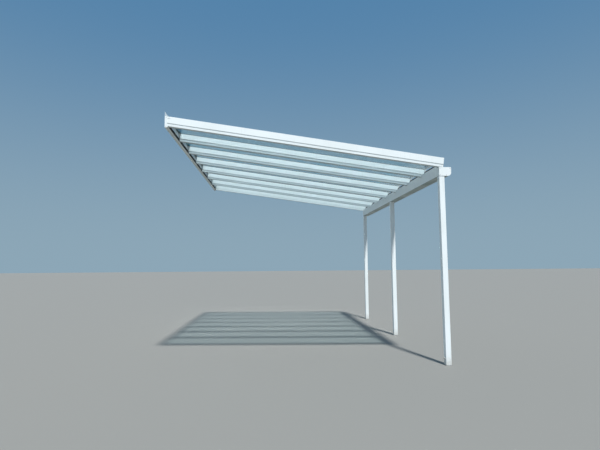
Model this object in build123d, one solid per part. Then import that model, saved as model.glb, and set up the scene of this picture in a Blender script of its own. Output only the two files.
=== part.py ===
from build123d import *
import math
import os

# Lean-to carport: eight sloping rafters carry seven glass panels from a wall
# profile down to a gutter beam, which stands on three slim square posts.
# Millimetres. X runs out from the wall, Y along the wall, Z up.
# The origin is the middle of the wall profile's back face.

# Overall sizes
roof_length = 5000.0
roof_projection = 4000.0
roof_pitch = 8.0
bay_count = 7
clear_height = 2618.0

# Fits between pieces
seat_gap = 0.3
side_gap = 1.0
cut_margin = 20.0

# Wall profile, an open channel with a snap-in cover
wall_profile_height = 143.0
wall_profile_depth = 34.0
wall_plate_thickness = 4.0
wall_flange_thickness = 3.0
wall_lip_reach = 10.0
wall_lip_thickness = 6.0
wall_cover_thickness = 2.5
wall_end_cap_thickness = 3.0
wall_seal_height = 46.0
wall_seal_thickness = 4.0
wall_seal_drop = 2.0
wall_bolt_radius = 5.5
wall_bolt_spacing = 350.0
wall_bolt_pair_count = 4

# Flashing over the top edge of the glass
flashing_upstand = 60.0
flashing_reach = 70.0
flashing_thickness = 2.0

# Rafters
rafter_width = 60.0
rafter_height = 118.0
rafter_wall = 2.5
rafter_groove_depth = 6.0
rafter_groove_height = 17.0
rafter_lip_height = 26.0
rafter_gutter_overlap = 80.0
rafter_end_cap_thickness = 3.0
spine_width = 14.0
spine_wall = 2.0

# Glazing
glass_thickness = 8.0
glass_side_clearance = 4.0
glass_wall_overlap = 14.0
glass_gutter_overlap = 70.0
lower_gasket_height = 3.0
upper_gasket_height = 2.0
gasket_width = 8.0
edge_trim_thickness = 2.0
edge_trim_leg = 14.0
cover_strip_crown = 4.0
cover_strip_leg = 8.0
cover_strip_wall = 2.5
cover_strip_bevel = 1.0

# Gutter, a box beam with the trough's walls standing on it
gutter_width = 175.0
gutter_height = 125.0
gutter_wall = 3.0
gutter_floor_level = 60.0
gutter_rail_width = 54.0
gutter_rim_width = 12.0
gutter_rim_height = 8.0
gutter_inner_radius = 8.0
gutter_outer_radius = 50.0
gutter_end_cap_thickness = 3.0
gutter_upstand_height = 36.0
gutter_upstand_thickness = 4.0
gutter_seal_height = 82.0
gutter_seal_thickness = 4.0

# Rafter seats on the gutter beam
seat_height = 10.0
seat_length = 50.0
seat_width = 48.0
seat_inset = 2.0

# Rainwater outlet through the front post
outlet_radius = 25.0
outlet_wall = 2.0
outlet_flange = 8.0
outlet_drop = 60.0
spout_radius = 16.0
spout_wall = 2.5
spout_reach = 12.0
spout_flange = 5.0
spout_flange_thickness = 2.0
spout_height = 93.0

# Posts, with an end plate and a spigot at the foot and at the head
post_size = 75.0
post_wall = 3.0
post_corner_radius = 4.0
post_count = 3
end_plate_thickness = 8.0
spigot_height = 60.0
spigot_wall = 4.0

# Worked-out places
slope = math.radians(roof_pitch)
fall = math.tan(slope)
half_length = roof_length / 2
bay_pitch = (roof_length - rafter_width) / bay_count
rafter_top_at_wall = wall_profile_height / 2
glass_bottom = lower_gasket_height
glass_top = glass_bottom + glass_thickness
strip_bottom = glass_top + upper_gasket_height
strip_top = strip_bottom + cover_strip_crown
spine_height = strip_top - cover_strip_wall
trim_margin = 2 * rafter_height
gutter_inner_x = roof_projection - gutter_width
gutter_inner_fall = gutter_inner_x * fall
gutter_top = rafter_top_at_wall - gutter_inner_fall - rafter_height / math.cos(slope) - seat_height
gutter_bottom = gutter_top - gutter_height
ground = gutter_bottom - clear_height
rafter_start_x = wall_profile_depth + seat_gap
rafter_end = (gutter_inner_x + rafter_gutter_overlap) / math.cos(slope) - rafter_end_cap_thickness
strip_start = flashing_reach + side_gap
post_x = gutter_inner_x + post_size / 2
post_bottom = ground + end_plate_thickness
post_top = gutter_bottom - end_plate_thickness

roof_plane = Plane(
    origin=(0, 0, rafter_top_at_wall),
    x_dir=(0, 1, 0),
    z_dir=(math.cos(slope), 0, -math.sin(slope)),
)


def rafter_y(index):
    """Middle of a rafter, counted from the front."""
    return -half_length + rafter_width / 2 + index * bay_pitch


def bay_y(index):
    """Middle of a bay, counted from the front."""
    return rafter_y(index) + bay_pitch / 2


def post_y(index):
    """Middle of a post, counted from the front."""
    reach = half_length - post_size / 2
    return -reach + index * 2 * reach / (post_count - 1)


def roof_point(along, above):
    """Point in the X-Z plane at a distance down the slope and above the rafter tops."""
    x = along * math.cos(slope) + above * math.sin(slope)
    z = rafter_top_at_wall - along * math.sin(slope) + above * math.cos(slope)
    return x, z


def roof_z(x, above):
    """Height at a distance from the wall, on a plane above the rafter tops."""
    return rafter_top_at_wall - x * fall + above / math.cos(slope)


def block(x_from, x_to, y_from, y_to, z_from, z_to):
    """Box between its low and high limits."""
    shape = Box(x_to - x_from, y_to - y_from, z_to - z_from)
    return Pos((x_from + x_to) / 2, (y_from + y_to) / 2, (z_from + z_to) / 2) * shape


def wall_extrusion(points, y_from, y_to):
    """Outline of X-Z points, extruded along the wall."""
    outline = make_face(Polyline(*[(x, y_from, z) for x, z in points], close=True))
    return extrude(outline, amount=y_to - y_from, dir=(0, 1, 0))


def roof_rectangle(y_from, y_to, low, high):
    """Rectangle across the slope, for a bar that runs down the roof."""
    return Pos((y_from + y_to) / 2, (low + high) / 2) * Rectangle(y_to - y_from, high - low)


def down_roof(section, along_from, along_to):
    """Section extruded down the slope, with square ends."""
    placed = roof_plane.offset(along_from) * section
    return extrude(placed, amount=along_to - along_from)


def down_roof_from_wall(section, x_from, along_to):
    """Section extruded down the slope, cut upright near the wall and square at its low end."""
    bar = down_roof(section, -trim_margin, along_to)
    reach = 2 * roof_projection
    keep = block(x_from, reach, -roof_length, roof_length, -reach, reach)
    return bar & keep


def make_wall_profile():
    """Channel on the wall, with a lip under the rafter ends and bolt holes."""
    bottom = -wall_profile_height / 2
    reach = wall_profile_depth + wall_lip_reach
    plate = [
        (0, bottom),
        (wall_plate_thickness, bottom),
        (wall_plate_thickness, roof_z(wall_plate_thickness, 0)),
        (0, roof_z(0, 0)),
    ]
    top_flange = [
        (0, roof_z(0, 0)),
        (0, roof_z(0, -wall_flange_thickness)),
        (wall_profile_depth, roof_z(wall_profile_depth, -wall_flange_thickness)),
        (wall_profile_depth, roof_z(wall_profile_depth, 0)),
    ]
    lip = [
        (0, roof_z(0, -rafter_height)),
        (0, roof_z(0, -rafter_height - wall_lip_thickness)),
        (reach, roof_z(reach, -rafter_height - wall_lip_thickness)),
        (reach, roof_z(reach, -rafter_height)),
    ]
    profile = wall_extrusion(plate, -half_length, half_length)
    profile += wall_extrusion(top_flange, -half_length, half_length)
    profile += wall_extrusion(lip, -half_length, half_length)
    bolt_hole = Cylinder(wall_bolt_radius, 2 * cut_margin, rotation=(0, 90, 0))
    pair_pitch = (bay_y(bay_count - 1) - bay_y(0)) / (wall_bolt_pair_count - 1)
    for pair in range(wall_bolt_pair_count):
        for side in (-1, 1):
            y = bay_y(0) + pair * pair_pitch + side * wall_bolt_spacing / 2
            profile -= Pos(0, y, 0) * bolt_hole
    return profile


def make_wall_cover():
    """Cover that closes the channel between its top flange and its lip."""
    outer = wall_profile_depth
    inner = outer - wall_cover_thickness
    low = -rafter_height + seat_gap
    high = -wall_flange_thickness - seat_gap
    points = [
        (inner, roof_z(inner, low)),
        (outer, roof_z(outer, low)),
        (outer, roof_z(outer, high)),
        (inner, roof_z(inner, high)),
    ]
    return wall_extrusion(points, -half_length, half_length)


def make_wall_end_caps():
    """Plates that close both ends of the channel and of the flashing."""
    top = roof_z(0, strip_bottom + flashing_thickness) + flashing_upstand
    bottom = -wall_profile_height / 2
    points = [
        (0, bottom),
        (wall_profile_depth, bottom),
        (wall_profile_depth, roof_z(wall_profile_depth, strip_bottom)),
        (flashing_thickness, roof_z(flashing_thickness, strip_bottom)),
        (flashing_thickness, top),
        (0, top),
    ]
    front = wall_extrusion(points, -half_length - wall_end_cap_thickness, -half_length)
    rear = wall_extrusion(points, half_length, half_length + wall_end_cap_thickness)
    return [front, rear]


def make_wall_flashing():
    """Angle that stands on the channel and covers the top edge of the glass."""
    top = roof_z(0, strip_bottom + flashing_thickness) + flashing_upstand
    upper = strip_bottom + flashing_thickness
    points = [
        (0, roof_z(0, 0)),
        (flashing_thickness, roof_z(flashing_thickness, 0)),
        (flashing_thickness, roof_z(flashing_thickness, strip_bottom)),
        roof_point(flashing_reach - flashing_thickness, strip_bottom),
        roof_point(flashing_reach - flashing_thickness, glass_top + seat_gap),
        roof_point(flashing_reach, glass_top + seat_gap),
        roof_point(flashing_reach, upper),
        (flashing_thickness, roof_z(flashing_thickness, upper)),
        (flashing_thickness, top),
        (0, top),
    ]
    return wall_extrusion(points, -half_length, half_length)


def make_wall_seals():
    """Black strip on the cover and over the lip, one between each pair of rafters."""
    inner = wall_profile_depth
    outer = inner + wall_seal_thickness
    lip_end = inner + wall_lip_reach
    nose = lip_end + wall_seal_thickness
    low = -rafter_height
    foot_top = low + wall_seal_thickness
    high = low + wall_seal_height
    bottom = low - wall_lip_thickness - wall_seal_drop
    points = [
        (inner, roof_z(inner, low)),
        (lip_end, roof_z(lip_end, low)),
        (lip_end, roof_z(lip_end, bottom)),
        (nose, roof_z(nose, bottom)),
        (nose, roof_z(nose, foot_top)),
        (outer, roof_z(outer, foot_top)),
        (outer, roof_z(outer, high)),
        (inner, roof_z(inner, high)),
    ]
    half_bay = (bay_pitch - rafter_width) / 2 - side_gap
    strips = []
    for bay in range(bay_count):
        strips.append(wall_extrusion(points, bay_y(bay) - half_bay, bay_y(bay) + half_bay))
    return strips


def rafter_section(y):
    """Hollow rafter with a groove in each side and a screw spine on top."""
    half = rafter_width / 2
    groove_low = -rafter_height + rafter_lip_height
    groove_high = groove_low + rafter_groove_height
    neck = half - rafter_groove_depth
    section = roof_rectangle(y - half, y + half, -rafter_height, 0)
    for side in (-1, 1):
        edge = y + side * half
        inner = y + side * neck
        section -= roof_rectangle(min(edge, inner), max(edge, inner), groove_low, groove_high)
    main = half - rafter_wall
    narrow = neck - rafter_wall
    low = groove_low - rafter_wall
    high = groove_high + rafter_wall
    section -= roof_rectangle(y - main, y + main, -rafter_height + rafter_wall, low)
    section -= roof_rectangle(y - narrow, y + narrow, low, high)
    section -= roof_rectangle(y - main, y + main, high, -rafter_wall)
    return section


def spine_section(y):
    """Screw channel on the rafter, which holds the cover strip."""
    half = spine_width / 2
    inner = half - spine_wall
    section = roof_rectangle(y - half, y + half, 0, spine_height)
    section -= roof_rectangle(y - inner, y + inner, spine_wall, spine_height)
    return section


def make_rafter(index):
    """Rafter from the wall profile to over the gutter."""
    y = rafter_y(index)
    body = down_roof_from_wall(rafter_section(y), rafter_start_x, rafter_end)
    spine = down_roof(spine_section(y), strip_start, rafter_end)
    return body + spine


def make_cover_strip(index):
    """Strip that clamps the glass, with a side flange on the two end rafters."""
    y = rafter_y(index)
    half = rafter_width / 2
    top = strip_top
    outline = Polyline(
        (y - half, strip_bottom),
        (y - half + cover_strip_leg, strip_bottom),
        (y - half + cover_strip_leg, top - cover_strip_wall),
        (y + half - cover_strip_leg, top - cover_strip_wall),
        (y + half - cover_strip_leg, strip_bottom),
        (y + half, strip_bottom),
        (y + half, top - cover_strip_bevel),
        (y + half - cover_strip_bevel, top),
        (y - half + cover_strip_bevel, top),
        (y - half, top - cover_strip_bevel),
        close=True,
    )
    section = make_face(outline)
    if index == 0:
        section += roof_rectangle(y - half, y - half + cover_strip_wall, 0, strip_bottom)
    if index == bay_count:
        section += roof_rectangle(y + half - cover_strip_wall, y + half, 0, strip_bottom)
    return down_roof(section, strip_start, rafter_end)


def glass_limits(bay):
    """Low and high Y of a glass panel."""
    reach = bay_pitch / 2 - spine_width / 2 - glass_side_clearance
    return bay_y(bay) - reach, bay_y(bay) + reach


def glass_end():
    """Distance down the slope at which the glass ends, over the gutter."""
    return (gutter_inner_x + glass_gutter_overlap) / math.cos(slope)


def make_glass_panel(bay):
    """Pane that lies on the gaskets from the wall channel to the gutter."""
    low, high = glass_limits(bay)
    start = wall_profile_depth - glass_wall_overlap
    return down_roof(roof_rectangle(low, high, glass_bottom, glass_top), start, glass_end())


def make_gaskets():
    """Rubber under and over the long edges of the glass, and at the wall."""
    strips = []
    half = rafter_width / 2
    start = rafter_start_x + side_gap
    for index in range(bay_count + 1):
        for side in (-1, 1):
            open_side = index + (side - 1) / 2
            if open_side < 0 or open_side >= bay_count:
                continue
            edge = rafter_y(index) + side * half
            inner = edge - side * gasket_width
            low = min(edge, inner)
            high = max(edge, inner)
            lower = roof_rectangle(low, high, 0, glass_bottom)
            upper = roof_rectangle(low, high, glass_top, strip_bottom)
            strips.append(down_roof(lower, start, glass_end() - edge_trim_leg - side_gap))
            strips.append(down_roof(upper, strip_start, glass_end() - edge_trim_leg - side_gap))
    long_strip = (-half_length + rafter_width, half_length - rafter_width)
    rest = roof_rectangle(*long_strip, 0, glass_bottom)
    rest_start = wall_profile_depth - glass_wall_overlap
    strips.append(down_roof(rest, rest_start, rest_start + gasket_width))
    over = roof_rectangle(*long_strip, glass_top, strip_bottom)
    over_end = flashing_reach - flashing_thickness - side_gap
    strips.append(down_roof(over, over_end - gasket_width, over_end))
    return strips


def make_edge_trims():
    """Channel over the lower edge of each pane, between the rafters."""
    end = glass_end()
    trims = []
    for bay in range(bay_count):
        half = (bay_pitch - rafter_width) / 2 - side_gap
        low = glass_bottom - seat_gap - edge_trim_thickness
        high = glass_top + seat_gap + edge_trim_thickness
        section = roof_rectangle(bay_y(bay) - half, bay_y(bay) + half, low, high)
        trim = down_roof(section, end - edge_trim_leg, end + seat_gap + edge_trim_thickness)
        slot = roof_rectangle(
            bay_y(bay) - bay_pitch, bay_y(bay) + bay_pitch, glass_bottom - seat_gap, glass_top + seat_gap
        )
        trim -= down_roof(slot, end - edge_trim_leg - cut_margin, end + seat_gap)
        trims.append(trim)
    return trims


def make_rafter_end_caps():
    """Plate on the lower end of each rafter."""
    caps = []
    half = rafter_width / 2
    for index in range(bay_count + 1):
        y = rafter_y(index)
        section = roof_rectangle(y - half, y + half, -rafter_height, strip_top)
        caps.append(down_roof(section, rafter_end, rafter_end + rafter_end_cap_thickness))
    return caps


def make_rafter_seats():
    """Wedge under each rafter, on the gutter's rafter rail."""
    seats = []
    x_from = gutter_inner_x + seat_inset
    x_to = x_from + seat_length
    points = [
        (x_from, gutter_top),
        (x_to, gutter_top),
        (x_to, roof_z(x_to, -rafter_height)),
        (x_from, roof_z(x_from, -rafter_height)),
    ]
    for index in range(bay_count + 1):
        y = rafter_y(index)
        seats.append(wall_extrusion(points, y - seat_width / 2, y + seat_width / 2))
    return seats


def gutter_outline(inset=0.0):
    """Outline of the gutter beam seen along the wall, its lower outer corner well rounded."""
    outline = Rectangle(gutter_width - 2 * inset, gutter_height - 2 * inset)
    lower = outline.vertices().group_by(Axis.Y)[0].sort_by(Axis.X)
    outline = fillet(lower[0], gutter_inner_radius - inset)
    lower = outline.vertices().group_by(Axis.Y)[0].sort_by(Axis.X)
    return fillet(lower[-1], gutter_outer_radius - inset)


def below_level(section, level):
    """Part of a gutter section below a height over the gutter's underside."""
    above = gutter_height - level
    return section - Pos(0, gutter_height / 2 - above / 2) * Rectangle(gutter_width, above)


def along_gutter(section, y_from, y_to):
    """Gutter section extruded along the wall, at the gutter's place."""
    middle_x = gutter_inner_x + gutter_width / 2
    middle_z = gutter_bottom + gutter_height / 2
    plane = Plane(origin=(middle_x, y_to, middle_z), x_dir=(1, 0, 0), z_dir=(0, -1, 0))
    return extrude(plane * section, amount=y_to - y_from)


def make_gutter_beam():
    """Closed box beam under the trough, with the outlet's hole at the front post."""
    section = below_level(gutter_outline(), gutter_floor_level)
    section -= below_level(gutter_outline(gutter_wall), gutter_floor_level - gutter_wall)
    beam = along_gutter(section, -half_length, half_length)
    drain = Cylinder(outlet_radius + seat_gap, gutter_floor_level + 2 * cut_margin)
    return beam - Pos(post_x, post_y(0), gutter_bottom + gutter_floor_level / 2) * drain


def make_gutter_end_caps():
    """Plates that close both ends of the beam and of the trough."""
    cap = gutter_end_cap_thickness
    front = along_gutter(gutter_outline(), -half_length - cap, -half_length)
    rear = along_gutter(gutter_outline(), half_length, half_length + cap)
    return [front, rear]


def gutter_strip(x_from, x_to, z_from, z_to):
    """Straight bar along the whole gutter."""
    return block(x_from, x_to, -half_length, half_length, z_from, z_to)


def make_gutter_inner_wall():
    """Trough wall towards the house, under the rail that carries the rafters."""
    floor_z = gutter_bottom + gutter_floor_level
    return gutter_strip(
        gutter_inner_x, gutter_inner_x + gutter_wall, floor_z, gutter_top - gutter_wall
    )


def make_gutter_rafter_rail():
    """Flat rail on the inner wall, on which the rafter seats stand."""
    return gutter_strip(
        gutter_inner_x, gutter_inner_x + gutter_rail_width, gutter_top - gutter_wall, gutter_top
    )


def make_gutter_outer_wall():
    """Trough wall away from the house, under the rim."""
    floor_z = gutter_bottom + gutter_floor_level
    return gutter_strip(
        roof_projection - gutter_wall, roof_projection, floor_z, gutter_top - gutter_rim_height
    )


def make_gutter_rim():
    """Stiff rim along the top of the outer wall."""
    return gutter_strip(
        roof_projection - gutter_rim_width, roof_projection, gutter_top - gutter_rim_height, gutter_top
    )


def strips_between_rafters(x_from, x_to, height):
    """Upright strips on the gutter's rafter rail, one in each bay."""
    half = (bay_pitch - rafter_width) / 2 - side_gap
    strips = []
    for bay in range(bay_count):
        strips.append(block(
            x_from, x_to,
            bay_y(bay) - half, bay_y(bay) + half,
            gutter_top, gutter_top + height,
        ))
    return strips


def make_gutter_upstands():
    """Upright strip on the rail's inner edge in each bay."""
    x_from = gutter_inner_x
    return strips_between_rafters(x_from, x_from + gutter_upstand_thickness, gutter_upstand_height)


def make_gutter_seals():
    """Black strip on the rail's outer edge in each bay, towards the glass."""
    x_to = gutter_inner_x + gutter_rail_width
    return strips_between_rafters(x_to - gutter_seal_thickness, x_to, gutter_seal_height)


def make_gutter_outlet():
    """Pipe from the trough floor into the front post."""
    floor_z = gutter_bottom + gutter_floor_level
    length = gutter_floor_level + outlet_drop
    inner = outlet_radius - outlet_wall
    pipe = Pos(0, 0, -length / 2) * Cylinder(outlet_radius, length)
    pipe += Pos(0, 0, outlet_wall / 2) * Cylinder(outlet_radius + outlet_flange, outlet_wall)
    pipe -= Pos(0, 0, -length / 2) * Cylinder(inner, length + 2 * cut_margin)
    return Pos(post_x, post_y(0), floor_z) * pipe


def square_tube(outer, corner, wall, z_from, z_to):
    """Upright square tube with rounded corners."""
    section = RectangleRounded(outer, outer, corner)
    inside = outer - 2 * wall
    section -= RectangleRounded(inside, inside, max(corner - wall, wall / 2))
    return Pos(0, 0, z_from) * extrude(section, amount=z_to - z_from)


def make_post(index):
    """Hollow post between its two end plates."""
    tube = square_tube(post_size, post_corner_radius, post_wall, post_bottom, post_top)
    post = Pos(post_x, post_y(index), 0) * tube
    if index == 0:
        hole = Cylinder(spout_radius + seat_gap, 2 * cut_margin, rotation=(0, 90, 0))
        post -= Pos(post_x - post_size / 2, post_y(0), ground + spout_height) * hole
    return post


def end_plate():
    """Plate with a spigot that stands inside the post, upright from its underside."""
    plate = extrude(RectangleRounded(post_size, post_size, post_corner_radius), amount=end_plate_thickness)
    spigot = post_size - 2 * post_wall - 2 * seat_gap
    top = end_plate_thickness + spigot_height
    return plate + square_tube(spigot, post_corner_radius, spigot_wall, end_plate_thickness, top)


def make_post_end_plates():
    """Foot plate and head plate of every post, with the outlet's hole in the front head."""
    plates = []
    for index in range(post_count):
        plates.append(Pos(post_x, post_y(index), ground) * end_plate())
        head = Pos(post_x, post_y(index), gutter_bottom) * Rot(180, 0, 0) * end_plate()
        if index == 0:
            head -= Pos(post_x, post_y(0), gutter_bottom) * Cylinder(outlet_radius + seat_gap, 2 * cut_margin)
        plates.append(head)
    return plates


def make_drain_spout():
    """Short outlet low in the front post, facing the parking space."""
    depth = post_wall + spout_reach
    face_x = post_x - post_size / 2
    turn = (0, 90, 0)
    pipe = Pos(post_wall - depth / 2, 0, 0) * Cylinder(spout_radius, depth, rotation=turn)
    flange = Cylinder(spout_radius + spout_flange, spout_flange_thickness, rotation=turn)
    pipe += Pos(-spout_flange_thickness / 2, 0, 0) * flange
    pipe -= Cylinder(spout_radius - spout_wall, depth + 2 * cut_margin, rotation=turn)
    return Pos(face_x, post_y(0), ground + spout_height) * pipe


def build_nodes():
    """Every piece of the carport, by its node's name."""
    nodes = {
        "wall_profile": make_wall_profile(),
        "wall_profile_cover": make_wall_cover(),
        "wall_flashing": make_wall_flashing(),
        "wall_end_caps": Compound(make_wall_end_caps()),
        "seal_strips": Compound(make_wall_seals() + make_gutter_seals()),
        "glazing_gaskets": Compound(make_gaskets()),
        "glass_edge_trims": Compound(make_edge_trims()),
        "rafter_end_caps": Compound(make_rafter_end_caps()),
        "rafter_seats": Compound(make_rafter_seats()),
        "gutter_beam": make_gutter_beam(),
        "gutter_inner_wall": make_gutter_inner_wall(),
        "gutter_rafter_rail": make_gutter_rafter_rail(),
        "gutter_outer_wall": make_gutter_outer_wall(),
        "gutter_rim": make_gutter_rim(),
        "gutter_end_caps": Compound(make_gutter_end_caps()),
        "gutter_upstands": Compound(make_gutter_upstands()),
        "gutter_outlet": make_gutter_outlet(),
        "drain_spout": make_drain_spout(),
        "post_end_plates": Compound(make_post_end_plates()),
    }
    for index in range(bay_count + 1):
        nodes[f"rafter_{index + 1}"] = make_rafter(index)
        nodes[f"cover_strip_{index + 1}"] = make_cover_strip(index)
    for bay in range(bay_count):
        nodes[f"glass_panel_{bay + 1}"] = make_glass_panel(bay)
    for index, place in enumerate(("front", "middle", "rear")):
        nodes[f"post_{place}"] = make_post(index)
    return nodes


os.makedirs("parts", exist_ok=True)
for name, shape in build_nodes().items():
    export_step(shape, f"parts/{name}.step")
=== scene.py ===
import math

import bmesh
import bpy
from mathutils import Matrix, Vector


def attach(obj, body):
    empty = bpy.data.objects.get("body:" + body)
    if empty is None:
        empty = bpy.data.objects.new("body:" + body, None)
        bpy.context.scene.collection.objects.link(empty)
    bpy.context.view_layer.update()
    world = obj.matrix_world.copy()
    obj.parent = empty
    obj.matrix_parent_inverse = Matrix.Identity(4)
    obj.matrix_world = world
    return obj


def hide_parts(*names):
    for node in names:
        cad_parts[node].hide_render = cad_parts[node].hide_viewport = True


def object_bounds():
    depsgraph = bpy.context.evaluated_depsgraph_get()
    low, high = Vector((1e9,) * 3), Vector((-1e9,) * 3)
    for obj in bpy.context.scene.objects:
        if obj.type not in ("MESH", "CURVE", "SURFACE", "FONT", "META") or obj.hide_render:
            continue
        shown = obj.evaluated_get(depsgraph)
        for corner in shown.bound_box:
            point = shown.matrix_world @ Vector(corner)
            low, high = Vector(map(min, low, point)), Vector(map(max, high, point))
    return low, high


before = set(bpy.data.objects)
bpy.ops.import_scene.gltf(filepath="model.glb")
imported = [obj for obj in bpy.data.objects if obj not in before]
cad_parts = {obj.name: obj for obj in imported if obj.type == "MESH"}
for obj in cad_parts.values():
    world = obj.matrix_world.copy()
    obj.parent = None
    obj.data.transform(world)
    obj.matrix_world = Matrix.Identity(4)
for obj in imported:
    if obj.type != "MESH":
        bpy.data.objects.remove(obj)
cadLow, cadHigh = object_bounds()
print("frame loaded:", len(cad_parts), "nodes")


# Places that the pieces share, in metres and degrees

roof = {
    "pitch": 8.0,
    "planeHeight": 0.0715,      # rafter tops at the wall face
    "length": 5.0,
    "rafterCount": 8,
    "rafterWidth": 0.06,
    "stripTop": 0.017,          # over the rafter tops
    "rafterEnd": 3.94337,       # outer face of the end caps, down the slope
    "gutterInner": 3.825,
    "gutterOuter": 4.0,
    "gutterTop": -0.595228,
    "gutterFloor": -0.660228,
    "gutterBottom": -0.720228,
    "ground": cadLow.z,
}

posts = {
    "size": 0.075,
    "middleX": 3.8625,
    "middleY": (-2.4625, 0.0, 2.4625),
}

slope = math.radians(roof["pitch"])
downSlope = Vector((math.cos(slope), 0, -math.sin(slope)))
offSlope = Vector((math.sin(slope), 0, math.cos(slope)))


def onRoof(along, y, above):
    return Vector((0, y, roof["planeHeight"])) + downSlope * along + offSlope * above


def roofLevel(x, above):
    # height, at a distance from the wall, of a face that lies so far over the rafter tops
    return roof["planeHeight"] - x * math.tan(slope) + above / math.cos(slope)


def rafterY(index):
    bay = (roof["length"] - roof["rafterWidth"]) / (roof["rafterCount"] - 1)
    return -roof["length"] / 2 + roof["rafterWidth"] / 2 + index * bay


# Camera

cameraSetup = {
    "eye": (1.464, -8.224, -1.949),
    "yaw": 3.824,        # degrees towards +X
    "pitch": 5.302,      # degrees upwards
    "roll": -0.42,
    "lens": 25.27,
    "sensor": 36.0,
    "clipEnd": 200,
}


def makeCamera(setup):
    data = bpy.data.cameras.new("camera")
    data.lens = setup["lens"]
    data.sensor_width = setup["sensor"]
    data.sensor_fit = "HORIZONTAL"
    data.clip_end = setup["clipEnd"]
    camera = bpy.data.objects.new("camera", data)
    bpy.context.scene.collection.objects.link(camera)
    turn = Matrix.Rotation(-math.radians(setup["yaw"]), 4, "Z")
    turn = turn @ Matrix.Rotation(math.radians(90 + setup["pitch"]), 4, "X")
    turn = turn @ Matrix.Rotation(math.radians(setup["roll"]), 4, "Z")
    camera.matrix_world = Matrix.Translation(setup["eye"]) @ turn
    bpy.context.scene.camera = camera


makeCamera(cameraSetup)
print("camera placed")


# Small node helpers

def addNode(tree, kind, **settings):
    node = tree.nodes.new(kind)
    for key, value in settings.items():
        setattr(node, key, value)
    return node


def plug(tree, socket, value):
    if isinstance(value, bpy.types.NodeSocket):
        tree.links.new(value, socket)
    else:
        socket.default_value = value


def calculate(tree, operation, first, second):
    node = addNode(tree, "ShaderNodeMath", operation=operation)
    plug(tree, node.inputs[0], first)
    plug(tree, node.inputs[1], second)
    return node.outputs[0]


def remap(tree, value, source, target=(0.0, 1.0)):
    node = addNode(tree, "ShaderNodeMapRange", interpolation_type="SMOOTHSTEP")
    for socket, number in zip(node.inputs, (value, *source, *target)):
        plug(tree, socket, number)
    return node.outputs[0]


def mixColors(tree, factor, first, second):
    node = addNode(tree, "ShaderNodeMix", data_type="RGBA")
    plug(tree, node.inputs[0], factor)
    plug(tree, node.inputs[6], first)
    plug(tree, node.inputs[7], second)
    return node.outputs[2]


def noise(tree, vector, scale, detail):
    node = addNode(tree, "ShaderNodeTexNoise")
    plug(tree, node.inputs["Vector"], vector)
    plug(tree, node.inputs["Scale"], scale)
    node.inputs["Detail"].default_value = detail
    return node.outputs[0]


def objectPlace(tree):
    return addNode(tree, "ShaderNodeTexCoord").outputs["Object"]


def axisOf(tree, vector, axis):
    node = addNode(tree, "ShaderNodeSeparateXYZ")
    plug(tree, node.inputs[0], vector)
    return node.outputs[axis]


def upwardness(tree):
    # 1 on a face that looks up, -1 on one that looks down
    return axisOf(tree, addNode(tree, "ShaderNodeNewGeometry").outputs["Normal"], 2)


def stretched(tree, vector, scale):
    node = addNode(tree, "ShaderNodeVectorMath", operation="MULTIPLY")
    plug(tree, node.inputs[0], vector)
    plug(tree, node.inputs[1], scale)
    return node.outputs[0]


def newGroup(name, inputs, outputs):
    group = bpy.data.node_groups.new(name, "ShaderNodeTree")
    for label, kind, value in inputs:
        socket = group.interface.new_socket(name=label, in_out="INPUT", socket_type=kind)
        socket.default_value = value
    for label in outputs:
        group.interface.new_socket(name=label, in_out="OUTPUT", socket_type="NodeSocketFloat")
    entry = group.nodes.new("NodeGroupInput")
    leave = group.nodes.new("NodeGroupOutput")
    return group, entry.outputs, leave.inputs


def useGroup(tree, group, **values):
    node = addNode(tree, "ShaderNodeGroup", node_tree=group)
    for label, value in values.items():
        plug(tree, node.inputs[label], value)
    return node.outputs


# Surface effects that several finishes share

orangePeelValues = {
    "fineDetail": 3.0,
    "mottleDetail": 4.0,
    "mottleRange": (0.3, 0.7),
}


def makeOrangePeel(values):
    # fine skin of a sprayed or moulded surface, and its slow mottling
    group, given, result = newGroup(
        "orangePeel",
        (("Size", "NodeSocketFloat", 0.003), ("Patch", "NodeSocketFloat", 0.4)),
        ("Height", "Mottle"),
    )
    place = objectPlace(group)
    fineScale = calculate(group, "DIVIDE", 1.0, given["Size"])
    slowScale = calculate(group, "DIVIDE", 1.0, given["Patch"])
    slow = noise(group, place, slowScale, values["mottleDetail"])
    plug(group, result["Height"], noise(group, place, fineScale, values["fineDetail"]))
    plug(group, result["Mottle"], remap(group, slow, values["mottleRange"]))
    return group


topDustValues = {
    "upRange": (0.3, 0.95),
    "detail": 5.0,
    "patchRange": (0.3, 0.7),
    "thinnest": 0.45,
}


def makeTopDust(values):
    # settled dust on faces that look up, in soft patches
    group, given, result = newGroup(
        "topDust",
        (("Amount", "NodeSocketFloat", 0.4), ("Patch", "NodeSocketFloat", 0.15)),
        ("Mask",),
    )
    up = remap(group, upwardness(group), values["upRange"])
    scale = calculate(group, "DIVIDE", 1.0, given["Patch"])
    patches = noise(group, objectPlace(group), scale, values["detail"])
    uneven = remap(group, patches, values["patchRange"], (values["thinnest"], 1.0))
    filmAndShade = calculate(group, "MULTIPLY", up, uneven)
    plug(group, result["Mask"], calculate(group, "MULTIPLY", filmAndShade, given["Amount"]))
    return group


runStreakValues = {
    "detail": 3.0,
    "lineRange": (0.52, 0.78),
    "breakScale": 2.2,
    "breakDetail": 2.0,
    "breakRange": (0.35, 0.65),
    "faintest": 0.3,
}


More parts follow.
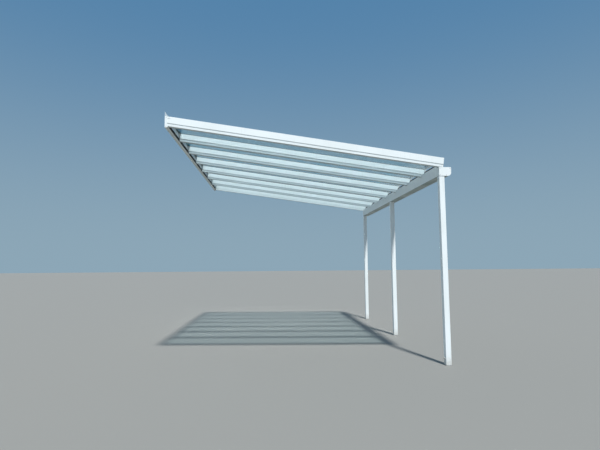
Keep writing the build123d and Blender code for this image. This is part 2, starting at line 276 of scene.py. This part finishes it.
def makeRunStreaks(values):
    # thin dirty runs, drawn out along the axis with the smallest scale
    group, given, result = newGroup(
        "runStreaks",
        (("Scale", "NodeSocketVector", (55.0, 55.0, 1.6)), ("Amount", "NodeSocketFloat", 0.3)),
        ("Mask",),
    )
    place = stretched(group, objectPlace(group), given["Scale"])
    lines = remap(group, noise(group, place, 1.0, values["detail"]), values["lineRange"])
    breaks = noise(group, objectPlace(group), values["breakScale"], values["breakDetail"])
    breaks = remap(group, breaks, values["breakRange"], (values["faintest"], 1.0))
    runs = calculate(group, "MULTIPLY", lines, breaks)
    plug(group, result["Mask"], calculate(group, "MULTIPLY", runs, given["Amount"]))
    return group


levelDirtValues = {
    "raggedScale": 22.0,
    "raggedDetail": 5.0,
    "ragged": 0.9,
    "fadeRange": (0.35, 1.25),
}


def makeLevelDirt(values):
    # dirt that is strongest at one level and fades over a reach upwards
    group, given, result = newGroup(
        "levelDirt",
        (
            ("Level", "NodeSocketFloat", 0.0),
            ("Reach", "NodeSocketFloat", 0.3),
            ("Amount", "NodeSocketFloat", 0.5),
        ),
        ("Mask",),
    )
    place = objectPlace(group)
    height = calculate(group, "SUBTRACT", axisOf(group, place, 2), given["Level"])
    share = calculate(group, "DIVIDE", height, given["Reach"])
    ragged = noise(group, place, values["raggedScale"], values["raggedDetail"])
    share = calculate(group, "ADD", share, calculate(group, "MULTIPLY", ragged, values["ragged"]))
    fade = remap(group, share, values["fadeRange"], (1.0, 0.0))
    plug(group, result["Mask"], calculate(group, "MULTIPLY", fade, given["Amount"]))
    return group


underShadeValues = {
    "downRange": (-0.15, -0.75),
    "blotchScale": (9.0, 2.5, 9.0),
    "blotchDetail": 5.0,
    "blotchRange": (0.25, 0.7),
    "thinnest": 0.6,
}


def makeUnderShade(values):
    # painted shade: grey-green darkening on faces that look down, uneven and drawn out along the wall
    group, given, result = newGroup("underShade", (("Amount", "NodeSocketFloat", 0.5),), ("Mask",))
    down = remap(group, upwardness(group), values["downRange"])
    place = stretched(group, objectPlace(group), values["blotchScale"])
    blotches = noise(group, place, 1.0, values["blotchDetail"])
    uneven = remap(group, blotches, values["blotchRange"], (values["thinnest"], 1.0))
    filmAndShade = calculate(group, "MULTIPLY", down, uneven)
    plug(group, result["Mask"], calculate(group, "MULTIPLY", filmAndShade, given["Amount"]))
    return group


lowerRafterShadeValues = {
    "raggedScale": 30.0,
    "raggedDetail": 3.0,
    "ragged": 0.006,
    "edge": 0.006,
    "streakScale": (2.0, 60.0, 60.0),
    "streakDetail": 3.0,
    "streakRange": (0.25, 0.75),
    "thinnest": 0.75,
}


def makeLowerRafterShade(values):
    # painted shade: darker band on the part of a rafter below a distance from the roof plane, with a ragged
    # upper edge
    group, given, result = newGroup(
        "lowerRafterShade",
        (("Below", "NodeSocketFloat", 0.075), ("Amount", "NodeSocketFloat", 0.5)),
        ("Mask",),
    )
    across = addNode(group, "ShaderNodeVectorMath", operation="DOT_PRODUCT")
    plug(group, across.inputs[0], objectPlace(group))
    plug(group, across.inputs[1], offSlope)
    planeDistance = roof["planeHeight"] * math.cos(slope)
    depth = calculate(group, "SUBTRACT", planeDistance, across.outputs["Value"])
    ragged = noise(group, objectPlace(group), values["raggedScale"], values["raggedDetail"])
    depth = calculate(group, "ADD", depth, calculate(group, "MULTIPLY", ragged, values["ragged"]))
    depth = calculate(group, "SUBTRACT", depth, given["Below"])
    band = remap(group, depth, (0.0, values["edge"]))
    place = stretched(group, objectPlace(group), values["streakScale"])
    streaks = noise(group, place, 1.0, values["streakDetail"])
    streaks = remap(group, streaks, values["streakRange"], (values["thinnest"], 1.0))
    filmAndShade = calculate(group, "MULTIPLY", band, streaks)
    plug(group, result["Mask"], calculate(group, "MULTIPLY", filmAndShade, given["Amount"]))
    return group


orangePeel = makeOrangePeel(orangePeelValues)
topDust = makeTopDust(topDustValues)
runStreaks = makeRunStreaks(runStreakValues)
levelDirt = makeLevelDirt(levelDirtValues)
underShade = makeUnderShade(underShadeValues)
lowerRafterShade = makeLowerRafterShade(lowerRafterShadeValues)
print("surface effects made")


# Finishes

dirtAndShadeColors = {
    "dust": (0.50, 0.47, 0.40, 1),
    "rain": (0.47, 0.47, 0.43, 1),
    "splash": (0.34, 0.30, 0.24, 1),
    "silt": (0.16, 0.15, 0.10, 1),
    # the next two are painted shade: grey-green under faces that look down, grey on the lower part of the
    # rafters
    "downShade": (0.10, 0.18, 0.165, 1),
    "band": (0.34, 0.39, 0.41, 1),
}


def newMaterial(name):
    material = bpy.data.materials.new(name)
    material.use_nodes = True
    return material, material.node_tree, material.node_tree.nodes["Principled BSDF"]


def addBump(tree, shader, height, strength, distance):
    bump = addNode(tree, "ShaderNodeBump")
    bump.inputs["Strength"].default_value = strength
    bump.inputs["Distance"].default_value = distance
    plug(tree, bump.inputs["Height"], height)
    plug(tree, shader.inputs["Normal"], bump.outputs[0])


coatValues = {
    "color": (0.83, 0.87, 0.865, 1),
    "shade": (0.79, 0.83, 0.815, 1),
    "shadePatch": 0.5,
    "peel": 0.0022,
    "peelBump": 0.35,
    "peelDepth": 0.0004,
    "roughness": 0.36,
    "dirtyRoughness": 0.8,
    "dirtRange": (0.0, 0.8),
    "dust": 0.35,
    "dustPatch": 0.12,
    "runScale": (60.0, 60.0, 1.8),
    "runs": 0.22,
    "splash": 0.0,
    "splashReach": 0.22,
    "silt": 0.0,
    "siltLevel": 0.0,
    "siltReach": 0.012,
    "siltPatch": 0.2,
    # amounts of painted shade on faces that look down and on the lower part of the rafters
    "downShade": 0.25,
    "band": 0.0,
    "bandBelow": 0.077,
}


def makePowderCoat(name, coat):
    material, tree, shader = newMaterial(name)
    skin = useGroup(tree, orangePeel, Size=coat["peel"], Patch=coat["shadePatch"])
    dust = useGroup(tree, topDust, Amount=coat["dust"], Patch=coat["dustPatch"])["Mask"]
    runs = useGroup(tree, runStreaks, Scale=coat["runScale"], Amount=coat["runs"])["Mask"]
    splash = useGroup(
        tree, levelDirt, Level=roof["ground"], Reach=coat["splashReach"], Amount=coat["splash"],
    )["Mask"]
    # masks of painted shade: under faces that look down, and on the lower part of the rafters
    downShade = useGroup(tree, underShade, Amount=coat["downShade"])["Mask"]
    band = useGroup(tree, lowerRafterShade, Below=coat["bandBelow"], Amount=coat["band"])["Mask"]
    color = mixColors(tree, skin["Mottle"], coat["color"], coat["shade"])
    # painted shade mixed into the coat colour
    color = mixColors(tree, band, color, dirtAndShadeColors["band"])
    color = mixColors(tree, downShade, color, dirtAndShadeColors["downShade"])
    color = mixColors(tree, dust, color, dirtAndShadeColors["dust"])
    color = mixColors(tree, runs, color, dirtAndShadeColors["rain"])
    color = mixColors(tree, splash, color, dirtAndShadeColors["splash"])
    if coat["silt"]:
        level = useGroup(
            tree, levelDirt, Level=coat["siltLevel"], Reach=coat["siltReach"], Amount=coat["silt"],
        )["Mask"]
        settled = useGroup(tree, topDust, Amount=1.0, Patch=coat["siltPatch"])["Mask"]
        color = mixColors(tree, calculate(tree, "MULTIPLY", level, settled), color, dirtAndShadeColors["silt"])
    plug(tree, shader.inputs["Base Color"], color)
    dirt = calculate(tree, "ADD", dust, calculate(tree, "ADD", runs, splash))
    rough = remap(tree, dirt, coat["dirtRange"], (coat["roughness"], coat["dirtyRoughness"]))
    plug(tree, shader.inputs["Roughness"], rough)
    addBump(tree, shader, skin["Height"], coat["peelBump"], coat["peelDepth"])
    return material


glassValues = {
    "color": (0.84, 0.93, 0.925, 1),
    "shallowColor": (0.01, 0.15, 0.24, 1),      # the film on the pane looks denser at a shallow angle
    "shallowRange": (0.45, 0.76),
    "shadowTint": (0.78, 0.85, 0.87, 1),
    "roughness": 0.01,
    "ior": 1.5,
    "dusty": (0.66, 0.71, 0.67, 1),
    "dustyRoughness": 0.28,
    "filmRange": (0.1, 1.0),
    "runScale": (1.1, 42.0, 1.1),
    "runs": 0.25,
    "patchScale": 5.0,
    "patchDetail": 5.0,
    "patchRange": (0.42, 0.72),
    "patches": 0.15,
    "gutterDirt": 0.55,
    "gutterDirtRange": (3.45, 3.92),        # distance from the wall
    "waveScale": (1.2, 2.6, 1.2),
    "waveDetail": 1.0,
    "waveBump": 0.12,
    "waveDepth": 0.002,
}


def makeGlass(name, values):
    material, tree, shader = newMaterial(name)
    place = objectPlace(tree)
    runs = useGroup(tree, runStreaks, Scale=values["runScale"], Amount=values["runs"])["Mask"]
    patches = noise(tree, place, values["patchScale"], values["patchDetail"])
    patches = remap(tree, patches, values["patchRange"], (0.0, values["patches"]))
    edge = remap(tree, axisOf(tree, place, 0), values["gutterDirtRange"], (0.0, values["gutterDirt"]))
    filmAndShade = calculate(tree, "ADD", calculate(tree, "ADD", runs, patches), edge)
    filmAndShade = calculate(tree, "MINIMUM", filmAndShade, 1.0)
    facing = addNode(tree, "ShaderNodeLayerWeight").outputs["Facing"]
    shallow = remap(tree, facing, values["shallowRange"])
    color = mixColors(tree, shallow, values["color"], values["shallowColor"])
    plug(tree, shader.inputs["Base Color"], mixColors(tree, filmAndShade, color, values["dusty"]))
    rough = remap(tree, filmAndShade, values["filmRange"], (values["roughness"], values["dustyRoughness"]))
    plug(tree, shader.inputs["Roughness"], rough)
    shader.inputs["IOR"].default_value = values["ior"]
    shader.inputs["Transmission Weight"].default_value = 1.0
    wave = noise(tree, stretched(tree, place, values["waveScale"]), 1.0, values["waveDetail"])
    addBump(tree, shader, wave, values["waveBump"], values["waveDepth"])
    # lamps shine through the panes instead of casting black shadows
    clear = addNode(tree, "ShaderNodeBsdfTransparent")
    clear.inputs["Color"].default_value = values["shadowTint"]
    mix = addNode(tree, "ShaderNodeMixShader")
    path = addNode(tree, "ShaderNodeLightPath").outputs
    through = calculate(tree, "MAXIMUM", path["Is Shadow Ray"], path["Is Diffuse Ray"])
    plug(tree, mix.inputs["Fac"], through)
    plug(tree, mix.inputs[1], shader.outputs[0])
    plug(tree, mix.inputs[2], clear.outputs[0])
    plug(tree, tree.nodes["Material Output"].inputs["Surface"], mix.outputs[0])
    return material


rubberValues = {
    "color": (0.006, 0.007, 0.008, 1),
    "chalked": (0.018, 0.019, 0.019, 1),
    "roughness": 0.66,
    "chalkedRoughness": 0.8,
    "specular": 0.2,
    "grain": 0.0015,
    "chalkPatch": 0.2,
    "dust": 0.5,
    "dustPatch": 0.05,
    "ribPitch": 0.004,
    "bandPitch": 0.314,     # of a band wave at scale 1
    "grainHeight": 0.25,
    "ribBump": 0.5,
    "ribDepth": 0.0008,
}


def makeRubber(name, values):
    material, tree, shader = newMaterial(name)
    skin = useGroup(tree, orangePeel, Size=values["grain"], Patch=values["chalkPatch"])
    dust = useGroup(tree, topDust, Amount=values["dust"], Patch=values["dustPatch"])["Mask"]
    color = mixColors(tree, skin["Mottle"], values["color"], values["chalked"])
    plug(tree, shader.inputs["Base Color"], mixColors(tree, dust, color, dirtAndShadeColors["dust"]))
    rough = remap(tree, skin["Mottle"], (0.0, 1.0), (values["roughness"], values["chalkedRoughness"]))
    plug(tree, shader.inputs["Roughness"], rough)
    shader.inputs["Specular IOR Level"].default_value = values["specular"]
    ribs = addNode(tree, "ShaderNodeTexWave", wave_type="BANDS", bands_direction="Z")
    plug(tree, ribs.inputs["Vector"], objectPlace(tree))
    ribs.inputs["Scale"].default_value = values["bandPitch"] / values["ribPitch"]
    grain = calculate(tree, "MULTIPLY", skin["Height"], values["grainHeight"])
    height = calculate(tree, "ADD", grain, ribs.outputs["Fac"])
    addBump(tree, shader, height, values["ribBump"], values["ribDepth"])
    return material


metalValues = {
    "lineDetail": 3.0,
    "lineRange": (0.3, 0.7),
    "stainSize": 0.01,
    "stainPatch": 0.03,
    "dust": 0.4,
    "dustPatch": 0.03,
    "bump": 0.25,
    "bumpDepth": 0.0002,
}

aluminiumValues = {
    **metalValues,
    "color": (0.64, 0.65, 0.66, 1),
    "dark": (0.50, 0.51, 0.52, 1),
    "grain": (900.0, 900.0, 6.0),
    "roughness": (0.30, 0.52),
}

screwValues = {
    **metalValues,
    "color": (0.56, 0.56, 0.55, 1),
    "dark": (0.40, 0.39, 0.38, 1),
    "grain": (700.0, 700.0, 700.0),
    "roughness": (0.22, 0.40),
}


def makeMetal(name, values):
    material, tree, shader = newMaterial(name)
    lines = noise(tree, stretched(tree, objectPlace(tree), values["grain"]), 1.0, values["lineDetail"])
    stains = useGroup(tree, orangePeel, Size=values["stainSize"], Patch=values["stainPatch"])
    dust = useGroup(tree, topDust, Amount=values["dust"], Patch=values["dustPatch"])["Mask"]
    color = mixColors(tree, stains["Mottle"], values["color"], values["dark"])
    plug(tree, shader.inputs["Base Color"], mixColors(tree, dust, color, dirtAndShadeColors["dust"]))
    plug(tree, shader.inputs["Roughness"], remap(tree, lines, values["lineRange"], values["roughness"]))
    shader.inputs["Metallic"].default_value = 1.0
    addBump(tree, shader, lines, values["bump"], values["bumpDepth"])
    return material


whiteCoat = makePowderCoat("whitePowderCoat", coatValues)
# inner rafters carry a strong band of painted shade on their lower part, outer rafters a faint one, both with
# painted shade on faces that look down
rafterCoat = makePowderCoat("rafterPowderCoat", {**coatValues, "band": 0.82, "downShade": 0.6})
outerRafterCoat = makePowderCoat("outerRafterPowderCoat", {**coatValues, "band": 0.12, "downShade": 0.55})
postCoat = makePowderCoat("postPowderCoat", {**coatValues, "splash": 0.45, "runs": 0.3})
stripCoat = makePowderCoat("stripPowderCoat", {
    **coatValues,
    "dust": 0.5,
    "runScale": (1.4, 60.0, 60.0),
})
gutterCoat = makePowderCoat("gutterPowderCoat", {
    **coatValues,
    "dust": 0.5,
    "runs": 0.45,
    "silt": 0.9,
    "siltLevel": roof["gutterFloor"],
    # full painted shade on faces that look down
    "downShade": 1.0,
})
whitePlastic = makePowderCoat("whitePlastic", {
    **coatValues,
    "color": (0.76, 0.76, 0.73, 1),
    "shade": (0.70, 0.69, 0.64, 1),
    "peel": 0.001,
    "roughness": 0.45,
    "splash": 0.35,
})
clearGlass = makeGlass("clearGlass", glassValues)
blackRubber = makeRubber("blackRubber", rubberValues)
bareAluminium = makeMetal("bareAluminium", aluminiumValues)
screwSteel = makeMetal("screwSteel", screwValues)

finishByStart = (
    ("glass_panel", clearGlass),
    ("glazing_gaskets", blackRubber),
    ("seal_strips", blackRubber),
    ("post_end_plates", bareAluminium),
    ("post_", postCoat),
    ("gutter_outlet", whitePlastic),
    ("drain_spout", whitePlastic),
    ("gutter_", gutterCoat),
    ("cover_strip", stripCoat),
    ("rafter_1", outerRafterCoat),
    ("rafter_8", outerRafterCoat),
    ("rafter_", rafterCoat),
    ("", whiteCoat),
)

for nodeName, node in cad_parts.items():
    finish = next(material for start, material in finishByStart if nodeName.startswith(start))
    node.data.materials.clear()
    node.data.materials.append(finish)
print("finishes made and given to the nodes")


# Modelling helpers

touch = 0.0005      # points nearer than this to a plane lie on it
mostly = 0.9        # a face looks along an axis if its normal has more than this share of it


def selectOnly(piece):
    bpy.ops.object.select_all(action="DESELECT")
    piece.select_set(True)
    bpy.context.view_layer.objects.active = piece


def openEdit(piece, mode, action):
    selectOnly(piece)
    bpy.ops.object.mode_set(mode="EDIT")
    bpy.ops.mesh.select_mode(type=mode)
    bpy.ops.mesh.select_all(action=action)


def leaveEdit():
    bpy.ops.object.mode_set(mode="OBJECT")


def extrudeFaces(piece, wanted, move):
    openEdit(piece, "FACE", "DESELECT")
    shape = bmesh.from_edit_mesh(piece.data)
    for face in shape.faces:
        face.select_set(wanted(face.calc_center_median(), face.normal))
    bmesh.update_edit_mesh(piece.data)
    bpy.ops.mesh.extrude_region_move(TRANSFORM_OT_translate={"value": move})
    leaveEdit()


def pickEdges(piece, wanted):
    # leaves edit mode with the wanted edges selected
    openEdit(piece, "EDGE", "DESELECT")
    shape = bmesh.from_edit_mesh(piece.data)
    for edge in shape.edges:
        edge.select_set(wanted(edge.verts[0].co, edge.verts[1].co))
    bmesh.update_edit_mesh(piece.data)


def bevelEdges(piece, wanted, offset, segments):
    pickEdges(piece, wanted)
    bpy.ops.mesh.bevel(offset=offset, segments=segments, affect="EDGES")
    leaveEdit()


def splitAt(piece, place, normal):
    openEdit(piece, "FACE", "SELECT")
    bpy.ops.mesh.bisect(plane_co=place, plane_no=normal)
    leaveEdit()


def newBox(name, low, high):
    bpy.ops.object.select_all(action="DESELECT")
    low, high = Vector(low), Vector(high)
    bpy.ops.mesh.primitive_cube_add(size=1, location=(low + high) / 2)
    piece = bpy.context.active_object
    piece.name = name
    piece.scale = high - low
    bpy.ops.object.transform_apply(location=True, rotation=True, scale=True)
    return piece


def newRound(sides, lowRadius, highRadius, low, high):
    # a cylinder or cone that stands on the Z axis
    bpy.ops.object.select_all(action="DESELECT")
    bpy.ops.mesh.primitive_cone_add(
        vertices=sides, radius1=lowRadius, radius2=highRadius, depth=high - low,
        location=(0, 0, (low + high) / 2),
    )
    bpy.ops.object.transform_apply(location=True, rotation=True, scale=True)
    return bpy.context.active_object


def turnTo(direction):
    return Vector((0, 0, 1)).rotation_difference(Vector(direction)).to_matrix().to_4x4()


def cutWith(piece, cutter):
    modifier = piece.modifiers.new("cut", "BOOLEAN")
    modifier.object = cutter
    modifier.solver = "EXACT"
    selectOnly(piece)
    bpy.ops.object.modifier_apply(modifier=modifier.name)
    bpy.data.objects.remove(cutter, do_unlink=True)


def copyTo(master, places, facing):
    # copies of a piece that points up at the origin, turned to face a direction
    turn = turnTo(facing)
    copies = []
    for place in places:
        copy = master.copy()
        copy.data = master.data.copy()
        copy.data.transform(Matrix.Translation(place) @ turn)
        bpy.context.scene.collection.objects.link(copy)
        copies.append(copy)
    return copies


def joinPieces(name, pieces):
    bpy.ops.object.select_all(action="DESELECT")
    for piece in pieces:
        piece.select_set(True)
    bpy.context.view_layer.objects.active = pieces[0]
    bpy.ops.object.join()
    joined = bpy.context.active_object
    joined.name = name
    return joined


def finishPiece(piece, material, smoothUpTo):
    piece.data.materials.clear()
    piece.data.materials.append(material)
    selectOnly(piece)
    bpy.ops.object.shade_smooth_by_angle(angle=math.radians(smoothUpTo))
    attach(piece, "root")


# Screws

buttonScrew = {
    "sides": 20,
    "radius": 0.0055,
    "height": 0.0032,
    "dome": 0.0022,
    "domeSteps": 3,
    "socketSides": 6,
    "socketRadius": 0.0022,
    "socketDepth": 0.0018,
    "washerRadius": 0.0082,
    "washerHeight": 0.0012,
    "washerEdge": 0.00048,
    "washerEdgeSteps": 2,
    "smoothUpTo": 35,
}

flushScrew = {
    "sides": 20,
    "radius": 0.0046,
    "coneRadius": 0.0024,
    "depth": 0.0026,
    "socketSides": 6,
    "socketRadius": 0.0019,
    "socketDepth": 0.0014,
    "sunk": 0.0001,
    "holeWider": 0.0003,
    "holeDeeper": 0.0002,
    "cutterProud": 0.0005,      # of the face that the hole opens
    "smoothUpTo": 35,
}


def cutSocket(piece, top, values):
    radius, depth = values["socketRadius"], values["socketDepth"]
    cutWith(piece, newRound(values["socketSides"], radius, radius, top - depth, top + depth))


def bevelTop(piece, top, offset, segments):
    bevelEdges(piece, lambda a, b: min(a.z, b.z) > top - touch, offset, segments)


def makeButtonScrew(values, withWasher):
    base = values["washerHeight"] if withWasher else 0.0
    top = base + values["height"]
    screw = newRound(values["sides"], values["radius"], values["radius"], base, top)
    bevelTop(screw, top, values["dome"], values["domeSteps"])
    cutSocket(screw, top, values)
    if not withWasher:
        return screw
    washer = newRound(values["sides"], values["washerRadius"], values["washerRadius"], 0, base)
    bevelTop(washer, base, values["washerEdge"], values["washerEdgeSteps"])
    return joinPieces("washeredScrew", [screw, washer])


def makeFlushScrew(values):
    screw = newRound(values["sides"], values["coneRadius"], values["radius"], -values["depth"], 0)
    cutSocket(screw, 0, values)
    return screw


plainScrew = makeButtonScrew(buttonScrew, False)
washerScrew = makeButtonScrew(buttonScrew, True)
countersunk = makeFlushScrew(flushScrew)

screwRows = {
    "capScrewAbove": (-0.018, -0.102),
    "stripFirst": 0.30,
    "stripSpacing": 0.49,
    "stripCount": 8,
    "flashingHeight": 0.121,
    "flashingFace": 0.002,
    "flashingCount": 10,
    "flashingEnd": 0.25,
    "postScrewHeight": 0.042,     # from either end of a post
    "postScrewOffset": 0.018,
}


def rafterCapScrewPlaces(rows):
    indexes = range(roof["rafterCount"])
    return [onRoof(roof["rafterEnd"], rafterY(i), above) for i in indexes for above in rows["capScrewAbove"]]


def stripScrewPlaces(rows):
    steps = [rows["stripFirst"] + rows["stripSpacing"] * step for step in range(rows["stripCount"])]
    return [onRoof(step, rafterY(i), roof["stripTop"]) for i in range(roof["rafterCount"]) for step in steps]


def flashingScrewPlaces(rows):
    reach = roof["length"] / 2 - rows["flashingEnd"]
    gap = 2 * reach / (rows["flashingCount"] - 1)
    return [
        Vector((rows["flashingFace"], -reach + gap * step, rows["flashingHeight"]))
        for step in range(rows["flashingCount"])
    ]


def postScrewPlaces(rows, side):
    x = posts["middleX"] + side * posts["size"] / 2
    levels = (roof["ground"] + rows["postScrewHeight"], roof["gutterBottom"] - rows["postScrewHeight"])
    return [
        Vector((x, y + offset, z))
        for y in posts["middleY"]
        for z in levels
        for offset in (-rows["postScrewOffset"], rows["postScrewOffset"])
    ]


capScrews = joinPieces("rafter_cap_screws", copyTo(plainScrew, rafterCapScrewPlaces(screwRows), downSlope))
stripScrews = joinPieces("cover_strip_screws", copyTo(washerScrew, stripScrewPlaces(screwRows), offSlope))
flashingScrews = joinPieces("flashing_screws", copyTo(washerScrew, flashingScrewPlaces(screwRows), (1, 0, 0)))
postScrews = joinPieces(
    "post_screws",
    copyTo(plainScrew, postScrewPlaces(screwRows, -1), (-1, 0, 0))
    + copyTo(plainScrew, postScrewPlaces(screwRows, 1), (1, 0, 0)),
)
for screws in (capScrews, stripScrews, flashingScrews, postScrews):
    finishPiece(screws, screwSteel, buttonScrew["smoothUpTo"])
print("screws set")


# End plates of the gutter

gutterPlate = {
    "inner": 2.5,
    "outer": 2.503,
    "outerRadius": 0.05,
    "outerSteps": 18,
    "innerRadius": 0.008,
    "innerSteps": 6,
    "edge": 0.0009,
    "edgeSteps": 2,
    "holes": ((3.838, -0.611), (3.986, -0.611), (3.843, -0.705), (3.93, -0.707)),
    "smoothUpTo": 20,
}


def cutCountersinks(plate, holes, side, outside):
    depth = flushScrew["depth"] + flushScrew["holeDeeper"]
    radius = flushScrew["radius"] + flushScrew["holeWider"]
    proud = flushScrew["cutterProud"]
    widening = proud * (radius - flushScrew["coneRadius"]) / depth
    for x, z in holes:
        cutter = newRound(
            flushScrew["sides"], flushScrew["coneRadius"], radius + widening, -depth, proud,
        )
        cutter.data.transform(Matrix.Translation((x, outside, z)) @ turnTo((0, side, 0)))
        cutWith(plate, cutter)


def makeGutterPlate(values, side):
    near, far = sorted((side * values["inner"], side * values["outer"]))
    outside = side * values["outer"]
    plate = newBox(
        "gutterPlate",
        (roof["gutterInner"], near, roof["gutterBottom"]),
        (roof["gutterOuter"], far, roof["gutterTop"]),
    )
    for cornerX, radius, segments in (
        (roof["gutterOuter"], values["outerRadius"], values["outerSteps"]),
        (roof["gutterInner"], values["innerRadius"], values["innerSteps"]),
    ):
        bevelEdges(plate, lambda a, b: (
            max(abs(a.x - cornerX), abs(b.x - cornerX)) < touch
            and max(a.z, b.z) < roof["gutterBottom"] + touch
            and abs(a.y - b.y) > touch
        ), radius, segments)
    bevelEdges(
        plate, lambda a, b: max(abs(a.y - outside), abs(b.y - outside)) < touch,
        values["edge"], values["edgeSteps"],
    )
    cutCountersinks(plate, values["holes"], side, outside)
    return plate


# End plates of the wall profile, with the flashing's upstand

wallPlate = {
    "inner": 2.5,
    "outer": 2.503,
    "bottom": -0.0715,
    "depth": 0.034,
    "upstand": 0.002,
    "top": cadHigh.z,
    "above": 0.013,          # underside of the cover strips over the rafter tops
    "tongueEnd": 0.0722,     # a tongue closes the gap between the flashing and the outer rafter
    "tongueBelow": 0.008,    # under the rafter top
    "edge": 0.0006,
    "edgeSteps": 2,
    "holes": ((0.017, -0.057), (0.017, 0.067)),
    "smoothUpTo": 20,
}


def addTongue(plate, values):
    depth = values["depth"]
    low = roofLevel(depth, -values["tongueBelow"])
    reach = values["tongueEnd"] - depth
    splitAt(plate, (0, 0, low), (0, 0, 1))
    extrudeFaces(
        plate, lambda middle, normal: normal.x > mostly and middle.x > depth - touch and middle.z > low,
        (reach, 0, -reach * math.tan(slope)),
    )


def makeWallPlate(values, side):
    near, far = sorted((side * values["inner"], side * values["outer"]))
    outside = side * values["outer"]
    depth, upstand = values["depth"], values["upstand"]
    highEnd, lowEnd = roofLevel(upstand, values["above"]), roofLevel(depth, values["above"])
    plate = newBox("wallPlate", (0, near, values["bottom"]), (depth, far, highEnd))
    splitAt(plate, (upstand, 0, 0), (1, 0, 0))
    extrudeFaces(
        plate, lambda middle, normal: normal.z > mostly and middle.x < upstand,
        (0, 0, values["top"] - highEnd),
    )
    # the top of the channel falls with the roof
    pickEdges(plate, lambda a, b: min(a.x, b.x) > depth - touch and min(a.z, b.z) > 0)
    bpy.ops.transform.translate(value=(0, 0, lowEnd - highEnd))
    leaveEdit()
    addTongue(plate, values)
    # the channel's front edge and the tongue's outline, but not the seam between the two
    bevelEdges(plate, lambda a, b: (
        max(abs(a.y - outside), abs(b.y - outside)) < touch
        and min(a.x, b.x) > depth - touch
        and (max(a.x, b.x) > depth + touch or max(a.z, b.z) < lowEnd - touch)
    ), values["edge"], values["edgeSteps"])
    cutCountersinks(plate, values["holes"], side, outside)
    return plate


gutterPlates = joinPieces("gutter_end_plates", [makeGutterPlate(gutterPlate, side) for side in (-1, 1)])
finishPiece(gutterPlates, gutterCoat, gutterPlate["smoothUpTo"])
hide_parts("gutter_end_caps")

wallPlates = joinPieces("wall_end_plates", [makeWallPlate(wallPlate, side) for side in (-1, 1)])
finishPiece(wallPlates, whiteCoat, wallPlate["smoothUpTo"])
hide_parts("wall_end_caps")

plateScrews = []
for plateValues in (gutterPlate, wallPlate):
    for side in (-1, 1):
        flush = side * (plateValues["outer"] - flushScrew["sunk"])
        places = [Vector((x, flush, z)) for x, z in plateValues["holes"]]
        plateScrews += copyTo(countersunk, places, (0, side, 0))
plateScrews = joinPieces("end_plate_screws", plateScrews)
finishPiece(plateScrews, screwSteel, flushScrew["smoothUpTo"])

for master in (plainScrew, washerScrew, countersunk):
    bpy.data.objects.remove(master, do_unlink=True)
print("end plates set")


# Studio

studio = {
    "floorSize": 160.0,
    "floorX": 2.0,
    "floorColor": (0.215, 0.21, 0.19, 1),
    "floorRoughness": 0.9,
    "horizonColor": (0.33, 0.48, 0.59, 1),
    "zenithColor": (0.11, 0.28, 0.50, 1),
    "skyRange": (0.0, 0.6),
    "worldStrength": 0.8,
}

keyLight = {
    "strength": 4.95,
    "color": (1, 1, 1),
    "angle": 3.5,
    "from": (1.5, -5.8, 10.0),
    "inReflections": True,
}

fillLight = {
    "strength": 0.8,
    "color": (1.0, 0.95, 0.84),
    "angle": 70.0,
    "from": (-2.5, 6.0, 4.5),
    "inReflections": False,
}


def makeFloor(setup):
    bpy.ops.object.select_all(action="DESELECT")
    bpy.ops.mesh.primitive_plane_add(size=setup["floorSize"], location=(setup["floorX"], 0, cadLow.z))
    floor = bpy.context.active_object
    floor.name = "floor"
    material, tree, shader = newMaterial("paleFloor")
    shader.inputs["Base Color"].default_value = setup["floorColor"]
    shader.inputs["Roughness"].default_value = setup["floorRoughness"]
    floor.data.materials.append(material)


def makeWorld(setup):
    world = bpy.data.worlds.new("studioSky")
    bpy.context.scene.world = world
    world.use_nodes = True
    tree = world.node_tree
    height = axisOf(tree, addNode(tree, "ShaderNodeTexCoord").outputs["Generated"], 2)
    lift = remap(tree, height, setup["skyRange"])
    color = mixColors(tree, lift, setup["horizonColor"], setup["zenithColor"])
    back = tree.nodes["Background"]
    plug(tree, back.inputs["Color"], color)
    back.inputs["Strength"].default_value = setup["worldStrength"]


def makeSun(name, setup):
    data = bpy.data.lights.new(name, "SUN")
    data.energy = setup["strength"]
    data.color = setup["color"]
    data.angle = math.radians(setup["angle"])
    light = bpy.data.objects.new(name, data)
    light.rotation_euler = Vector(setup["from"]).to_track_quat("Z", "Y").to_euler()
    light.visible_transmission = False      # the panes already let it through as a shadow ray
    light.visible_glossy = setup["inReflections"]
    bpy.context.scene.collection.objects.link(light)


makeFloor(studio)
makeWorld(studio)
makeSun("key", keyLight)
makeSun("fill", fillLight)
bpy.context.scene.view_settings.view_transform = "Standard"
print("studio lit")
